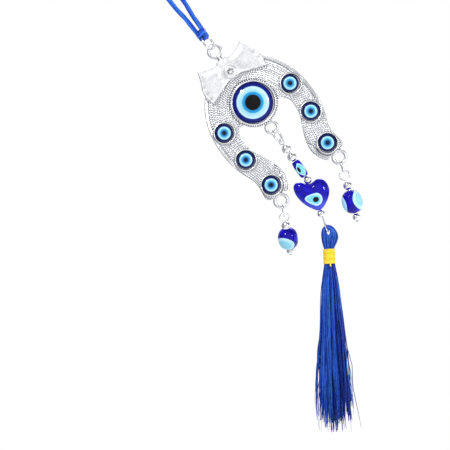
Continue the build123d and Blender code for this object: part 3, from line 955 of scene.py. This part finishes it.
def make_cast(shape, name, metal=casting_metal, **options):
    shape.make(name, metal, "plate", "silver_casting", **options)


casting = Shape()
relief_slab(casting, plate_loops, relief_pitch, plate_back, plate_height)
make_cast(casting, "plate_casting", replaced=["horseshoe_plate"], sharp=65)


def at_front(x, z, height=0.0):
    return np.array((x, -height, z))


def ring_profile(inner, outer, base, top, seat, edge=0.28):
    """A bezel's section: inside wall that slopes in to its seat, rounded lip, and outside wall
    that flares at its foot."""
    lip = [
        ((inner + outer) / 2 + (outer - inner) / 2 * np.cos(a), top - edge + edge * np.sin(a))
        for a in np.linspace(0, np.pi, 9)
    ]
    return [(seat, base), (outer + 0.12, base), (outer + 0.06, base + 0.35)] + lip + [(seat, top - 1.1)]


big_bezel = ring_profile(9.32, 10.05, 0.45, 2.9, 9.08)
small_bezel = ring_profile(4.32, 4.86, 0.45, 2.3, 4.02)
bezels = Shape()
for name, (cx, cz) in cup_centre.items():
    bezel, segments = (big_bezel, 128) if name == "centre_eye" else (small_bezel, 72)
    lathe(bezels, bezel, at_front(cx, cz), FRONT, segments, relief=1.0)
make_cast(bezels, "plate_bezels", sharp=50)


def rope_ring(shape, centre, radius, thickness, beads):
    """A milled rope edge: a ring whose section swells and twists round it."""
    turn, section = round_angles(beads * 10), round_angles(12)
    a, b = np.meshgrid(turn, section, indexing="ij")
    swell = 1 + 0.24 * np.cos(beads * a + 1.4 * np.sin(b))
    r = radius + thickness * swell * np.cos(b)
    h = thickness * swell * np.sin(b)
    points = np.stack((r * np.cos(a), -h, r * np.sin(a)), axis=-1) + centre
    # Painted shade where the rope's section is thin, between its twists
    relief = np.clip((swell - 0.76) / 0.48, 0, 1)
    shape.add(points, grid_faces(len(turn), len(section), wrap_rows=True), relief=relief)


rope = Shape()
cx, cz = cup_centre["centre_eye"]
rope_depth, rope_radius, rope_thickness, rope_beads = 1.75, 10.22, 0.52, 64
rope_ring(rope, at_front(cx, cz, rope_depth), rope_radius, rope_thickness, rope_beads)
make_cast(rope, "centre_rope_edge")

# Cast loops, each at the joint where the next piece hangs: radius to the middle of the metal, and the
# metal's own radius
loops = Shape()
top_loop_at = joint_point["plate_swing"]
loop_angles = round_angles(72)
loop_sizes = {
    "plate_swing": (2.8, 0.68),
    "centre_ring_swing": (2.55, 0.70),
    "left_ring_swing": (2.8, 0.80),
    "right_ring_swing": (2.8, 0.80),
}
for joint, (radius, metal) in loop_sizes.items():
    ring = joint_point[joint] + radius * turned(RIGHT, UP, loop_angles)
    swell = metal * (1 + 0.04 * np.sin(5 * loop_angles))
    tube(loops, ring, swell, 16, closed=True, relief=0.9)
neck = smooth_path((top_loop_at - UP * 2.6, top_loop_at - UP * 4.6, top_loop_at - UP * 7.4), 6)
tube(loops, neck, np.linspace(1.0, 1.9, len(neck)), 20, relief=0.9)
make_cast(loops, "plate_loops")

# ---- glass eyes ----


def dome_profile(radius, edge, height, steps=28):
    """A cabochon from its flat back over the edge to the middle of its dome."""
    out = [(0.0, 0.0), (radius - 0.1, 0.0), (radius, 0.1)]
    for t in np.linspace(0, 1, steps):
        share = np.cos(t * np.pi / 2)
        # Steeper just above the edge
        rise = (1 - share**2) ** (0.5 if t < 0.12 else 1)
        out.append((radius * share, edge + (height - edge) * rise))
    out[-1] = (0.0, height)
    return out


def glass_eye(node, radius, edge, height, look):
    low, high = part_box(node)
    centre = np.array(((low.x + high.x) / 2, high.y, (low.z + high.z) / 2)) / MM
    eye = Shape()
    profile = dome_profile(radius, edge, height)
    lathe(eye, profile, centre, FRONT, 96, closed=False, ring=lambda r, h, turn: r + 0 * turn)
    eye.make(f"{node}_glass", look, "plate", "eye_glass", [node], weld=True)


# Each: radius, height of the edge, height of the dome, and its print
big_eye, small_eye = (9.0, 1.6, 4.2, big_eye_print), (3.95, 1.2, 2.6, small_eye_print)
for name in eye_shift:
    glass_eye(name, *(big_eye if name == "centre_eye" else small_eye))

# ---- bow ----

bow_back = -1.5
bow_face = 2.9
bow_low, bow_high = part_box("bow_crystal")
knot_x, knot_z = 0.0, (bow_low.z + bow_high.z) / 2 / MM


def bow_height(x, z, distance):
    dx, dz = np.abs(x - knot_x), z - knot_z
    reach = np.hypot(dx, dz)
    angle = np.arctan2(dz, dx)
    wing = soft_step(reach, 3.0, 6.5)
    puffed = 0.70 * soft_step(distance, 0.0, 3.2) * wing
    pleats = 0.09 * np.cos(angle * 9 + 0.6 * np.sin(reach * 0.7))
    pleats = pleats * wing * (1 - soft_step(reach, 7.0, 12.0))
    # Frill at the wing's end: short waves along the edge
    frill = 0.16 * np.sin(z * 2.1 + dx * 0.5) * soft_step(dx, 12.4, 14.2)
    crease = -0.22 * ridge(angle, 0.05, 0.12) * wing * (1 - soft_step(reach, 5.0, 9.0))
    rolled = 0.18 * ridge(distance, 0.45, 0.30)
    front = bow_face - 0.25 + puffed + pleats + frill + crease + rolled
    front -= 0.9 * np.clip(1 - distance / 0.45, 0, 1) ** 2
    # Painted shade: darker where the pleats, crease and frill dip
    recess_shade = np.clip(0.95 + 1.2 * (pleats + crease + frill), 0.25, 1)
    return front, np.clip(recess_shade, 0, 1)


bow_shape = Shape()
relief_slab(bow_shape, node_outline("bow", bow_back), 0.2, bow_back, bow_height)
make_cast(bow_shape, "bow_casting", bow_metal, replaced=["bow"], sharp=65)
# Round knot: its flat foot, its dome, and the crystal's seat
knot_profile = [(0.0, 2.3), (3.2, 2.3)]
for t in np.linspace(0, 1, 18):
    knot_profile.append((3.3 * np.cos(t * 1.12), 2.7 + 1.72 * np.sin(t * np.pi / 2)))
knot_profile += [(1.32, 4.45), (1.30, 3.75), (0.0, 3.7)]
knot = Shape()
lathe(knot, knot_profile, at_front(knot_x, knot_z), FRONT, 72, closed=False, relief=0.95)
prong_count, prong_reach, prong_foot, prong_radius = 6, 1.38, 4.35, 0.16
for prong in range(prong_count):
    turn = prong * 2 * np.pi / prong_count + 0.3
    foot = at_front(knot_x + prong_reach * np.cos(turn), knot_z + prong_reach * np.sin(turn), prong_foot)
    prong_path = (foot, foot + FRONT * 0.25, foot + FRONT * 0.38 - RIGHT * 0.1 * np.cos(turn))
    tube(knot, smooth_path(prong_path, 3), prong_radius, 8)
make_cast(knot, "bow_knot", bow_metal, weld=True, sharp=50)

stone = Shape()
facet_rows = ((0.0, 0.0, 0.0), (1.18, 0.15, 0.0), (1.22, 0.75, 0.5), (0.72, 1.22, 0.0), (0.0, 1.24, 0.0))
stone_points, sides, stone_seat = [], 10, 3.68
for radius, height, shift in facet_rows:
    for k in range(sides):
        turn = 2 * np.pi * (k + shift) / sides
        x, z = knot_x + radius * np.cos(turn), knot_z + radius * np.sin(turn)
        stone_points.append(at_front(x, z, stone_seat + height))
stone.add(stone_points, grid_faces(len(facet_rows), sides))
stone.make("bow_stone", crystal, "plate", "crystal", ["bow_crystal"], weld=True, sharp=5)

# ---- tassel ----

rng = np.random.default_rng(7)
head_thread, skirt_thread_radius, stray_thread, clear_thread = 0.23, 0.24, 0.12, 0.16
binding_thread, tail_thread = 0.25, 0.2
tassel_hook = joint_point["tassel_swing"]
tassel_down = unit(node_centre("tassel_binding") - tassel_hook)
tassel_across = rightward(unit(np.cross(tassel_down, FRONT)))
head_length, binding_length = 7.1, 6.4
skirt_start = head_length + binding_length
tassel_length = 86.3


def tassel_point(across, depth, reach):
    """A point of the tassel: right of its middle line, in front of it, and down from its hook."""
    across, depth, reach = (np.asarray(share)[..., None] for share in (across, depth, reach))
    return tassel_hook + tassel_across * across + FRONT * depth + tassel_down * reach


def wave(steps, fewest, most, latest=6):
    """A wave with a random number of turns, between these two, and a random start."""
    return np.sin(steps * 2 * np.pi * rng.uniform(fewest, most) + rng.uniform(0, latest))


# Head: a thick hank folded over the wire loop, its two limbs parting only round a small eye
head = Shape()
hank_outside = ((-1.9, 7.3), (-2.7, 4.5), (-3.05, 1.3), (-2.6, -1.7), (-1.2, -3.2))
hank_outside += ((0.8, -3.3), (2.8, -1.8), (4.1, 1.2), (3.5, 4.0), (1.9, 7.3))
hank_inside = ((0.3, 7.3), (0.3, 4.5), (0.4, 1.7), (-0.70, 0.1), (-0.75, -0.9))
hank_inside += ((0.05, -1.5), (0.8, -0.8), (0.55, 0.3), (-0.3, 2.2), (-0.2, 7.3))
outside, inside = smooth_path(hank_outside, 4), smooth_path(hank_inside, 4)
hank_strands = 190
hank_share = np.linspace(0, 1, len(outside))
hank_depth = 2.15 + 0.45 * np.sin(hank_share * 2 * np.pi) ** 2 - 0.5 * np.sin(hank_share * np.pi) ** 6
for strand in range(hank_strands):
    lay_turn, lay_reach = rng.uniform(0, 2 * np.pi), np.sqrt(rng.uniform(0.2, 1))
    drift = 0.10 * wave(hank_share, 0.75, 2)
    lay_out = lay_reach * np.cos(lay_turn) + drift
    lay_deep = np.clip(lay_reach * np.sin(lay_turn) + drift, -1, 1)
    flat = inside + (outside - inside) * (0.5 + 0.47 * lay_out)[:, None]
    # The fold stays between the two sides of the wire loop, which narrow upward from the hook
    between = np.clip(1.65 - 0.36 * np.linalg.norm(flat, axis=1), 0.3, 1.2)
    between = between + 2.0 * soft_step(flat[:, 1], 0.9, 3.4)
    path = tassel_point(flat[:, 0], np.minimum(hank_depth, between) * lay_deep, flat[:, 1])
    tube(head, path, head_thread, 6, tone=rng.uniform(0.1, 0.9))
head.make("tassel_head_silk", silk, "tassel", "blue_silk", ["tassel_head"])

# Binding: yellow thread wound close, with two short tails
binding = Shape()
winds = 15
wind_steps = np.linspace(0, winds * 2 * np.pi, winds * 36)
wind_reach = head_length - 0.1 + (binding_length + 0.1) * wind_steps / wind_steps[-1]
wind_radius = 2.42 + 0.07 * np.sin(wind_steps * 0.31)
wind_path = tassel_point(wind_radius * np.cos(wind_steps), wind_radius * np.sin(wind_steps), wind_reach)
tube(binding, wind_path, binding_thread, 8, tone=0.55 + 0.12 * np.sin(wind_steps * 0.17))
core = [(0.0, head_length), (2.3, head_length + 0.1), (2.3, skirt_start - 0.1), (0.0, skirt_start)]
lathe(binding, core, tassel_hook, tassel_down, 32, closed=False, tone=0.3)
for lean, length in ((0.15, 1.7), (-0.2, 1.3)):
    t = np.array((0, 0.35, 0.7, 1))
    tail = tassel_point(0.25 + lean * t, 2.55 + 0.25 * np.sin(t * 2), skirt_start - 0.5 + length * t)
    tube(binding, smooth_path(tail, 4), tail_thread, 8, tone=0.8)
binding.make("tassel_binding_thread", yellow, "tassel", "yellow_thread", ["tassel_binding"])

# Skirt: silk threads in loose locks, uneven at their ends, with a few strays
skirt = Shape()
skirt_length = tassel_length - skirt_start
skirt_steps = np.linspace(0, 1, 30)
# Half width of the skirt at steps down its length, and its depth as a share of that
skirt_half = np.interp(skirt_steps, (0, 0.12, 0.30, 0.59, 0.95, 1), (2.3, 3.8, 4.8, 6.6, 8.3, 8.4))
skirt_depth = np.interp(skirt_steps, (0, 0.12, 1), (1.0, 0.70, 0.66))


def skirt_thread(across, deep, length, radius, tone, ripple=0.0, own=0.0):
    """One thread, at a share of the skirt's half width and depth all the way down."""
    tips = 1 - 0.6 * soft_step(skirt_steps, 0.8, 1.0)
    path = tassel_point(
        across * skirt_half + ripple + own,
        deep * skirt_half * skirt_depth + 0.6 * ripple - own,
        skirt_start - 0.3 + skirt_length * length * skirt_steps,
    )
    tube(skirt, path, radius * tips, 5, tone=tone)


lock_count, stray_count = 40, 46
golden_angle = 2.39996
for lock in range(lock_count):
    lock_turn = lock * golden_angle
    lock_reach = 0.88 * np.sqrt((lock + 0.5) / lock_count)
    lock_at = lock_reach * np.array((np.cos(lock_turn), np.sin(lock_turn)))
    # Random tone, plus painted light: locks further left are painted paler
    lock_tone_and_light = rng.uniform(0.2, 0.55) - 0.32 * lock_at[0]
    wander = rng.normal(0, 0.07, 2) * soft_step(skirt_steps, 0.1, 0.9)[:, None]
    ripple = 0.30 * wave(skirt_steps, 0.6, 1.6) * soft_step(skirt_steps, 0.08, 0.5)
    lock_length = 1.03 - 0.08 * rng.uniform(0, 1) - 0.06 * lock_reach**2
    for thread in range(int(13 - 5 * lock_reach - 2 * max(0, -lock_at[0]))):
        own_turn, own_reach = rng.uniform(0, 2 * np.pi), 0.13 * np.sqrt(rng.uniform(0, 1))
        own = 0.20 * wave(skirt_steps, 1.5, 4) * soft_step(skirt_steps, 0.1, 0.7)
        across = lock_at[0] + own_reach * np.cos(own_turn) + wander[:, 0]
        deep = lock_at[1] + own_reach * np.sin(own_turn) + wander[:, 1]
        length = lock_length * (1 - 0.14 * rng.uniform(0, 1) ** 2)
        tone = np.clip(lock_tone_and_light + rng.normal(0, 0.12), 0, 1)
        skirt_thread(across, deep, length, skirt_thread_radius, tone, ripple, own)
# Fine loose threads round the outside
for stray in range(stray_count):
    turn = rng.uniform(0, 2 * np.pi)
    reach = (0.92 + 0.10 * wave(skirt_steps, 0.5, 1.5, latest=3)) * soft_step(skirt_steps, -0.25, 0.2)
    own = 0.35 * wave(skirt_steps, 1, 3) * skirt_steps
    length, tone = rng.uniform(0.82, 1.03), rng.uniform(0.5, 1)
    skirt_thread(reach * np.cos(turn), reach * np.sin(turn), length, stray_thread, tone, own=own)
# One long one hangs clear at the right
clear_out = np.interp(skirt_steps, (0, 0.25, 0.5, 0.62, 0.75, 1), (0.4, 0.9, 1.02, 1.22, 1.12, 1.34))
skirt_thread(clear_out, 0.2 * clear_out, 1.0, clear_thread, 0.2)
skirt.make("tassel_skirt_silk", silk, "tassel", "blue_silk", ["tassel_skirt"])

# ---- floor, light and world ----

floor_level = -500.0
floor_radius = 1600.0
floor_mesh = bpy.data.meshes.new("floor")
floor_rim = floor_radius * turned(RIGHT, -FRONT, round_angles(96)) + UP * floor_level
floor_mesh.from_pydata((floor_rim * MM).tolist(), [], [list(range(len(floor_rim)))])
floor_look = Look("pale_floor", Roughness=0.9, Emission_Strength=0.5, Emission_Color="ffffff")
floor_pale = floor_look.ramp(floor_look.noise(6.0, 3.0), ((0.3, (0.90,) * 3), (0.7, (0.93,) * 3)))
floor_look.set(Base_Color=floor_pale)
floor_mesh.materials.append(floor_look.material)
floor = add_object("floor", floor_mesh)


def area_light(name, right, up, front, distance, width, height, power):
    """A soft box that stands in this direction, seen from the middle of the picture."""
    light = bpy.data.lights.new(name, "AREA")
    light.shape = "RECTANGLE"
    light.size, light.size_y = width * MM, height * MM
    light.energy = power
    holder = add_object(name, light)
    direction = unit(picture_right * right + picture_up * up + FRONT * front)
    place(holder, view_centre + direction * distance, -direction, picture_up)


area_light("key_light", -0.55, 0.75, 0.75, 620, 110, 110, 1.7)
area_light("side_light", 0.95, 0.35, 0.85, 560, 45, 90, 0.7)
area_light("rim_light", 0.2, 0.9, -0.7, 620, 360, 260, 1.2)

# The room that the metal and glass mirror: bright before and behind the ornament and grey at its
# sides, with one dark corner that shows as a dark spot on every polished bead. The camera sees white.
world = bpy.data.worlds.new("studio")
bpy.context.scene.world = world
world.use_nodes = True
studio = Nodes(world.node_tree)
backdrop = studio.tree.nodes["Background"]
studio.feed(backdrop.inputs["Color"], "ffffff")
backdrop.inputs["Strength"].default_value = 1.0
outward = studio.node("ShaderNodeTexCoord").outputs["Generated"]


def facing(direction):
    """How much a ray goes this way, from -1 to 1."""
    sockets = {0: outward, 1: tuple(unit(direction))}
    return studio.node("ShaderNodeVectorMath", sockets, operation="DOT_PRODUCT").outputs["Value"]


def grey(level):
    return (level, level, level * 1.01)


ahead = studio.math("MULTIPLY", studio.math("ADD", facing(FRONT), 1.0), 0.5)
wall_stops = ((0.0, 0.85), (0.30, 0.45), (0.50, 0.24), (0.70, 0.42), (0.87, 0.66), (0.95, 1.0))
walls = studio.ramp(ahead, [(place_on, grey(level)) for place_on, level in wall_stops])
mottle = studio.ramp(studio.noise(2.2, 2.0, outward), ((0.38, grey(0.80)), (0.58, grey(1.0))))
walls = studio.mix(1.0, walls, mottle, "MULTIPLY")
ceiling = studio.math("ADD", studio.math("MULTIPLY", facing(picture_up), 0.16), 0.84)
corner = facing(FRONT * 0.72 + picture_right * 0.42 - picture_up * 0.56)
corner_stops = ((np.cos(np.radians(33)), grey(1.0)), (np.cos(np.radians(19)), grey(0.02)))
corner = studio.ramp(corner, corner_stops)
painted = studio.mix(1.0, walls, corner, "MULTIPLY")
room_light = {"Color": painted, "Strength": studio.math("MULTIPLY", ceiling, 1.12)}
room = studio.node("ShaderNodeBackground", room_light).outputs["Background"]
seen = studio.node("ShaderNodeLightPath").outputs["Is Camera Ray"]
choose = studio.node("ShaderNodeMixShader", {"Fac": seen, 1: room, 2: backdrop.outputs["Background"]})
studio.feed(studio.tree.nodes["World Output"].inputs["Surface"], choose.outputs["Shader"])
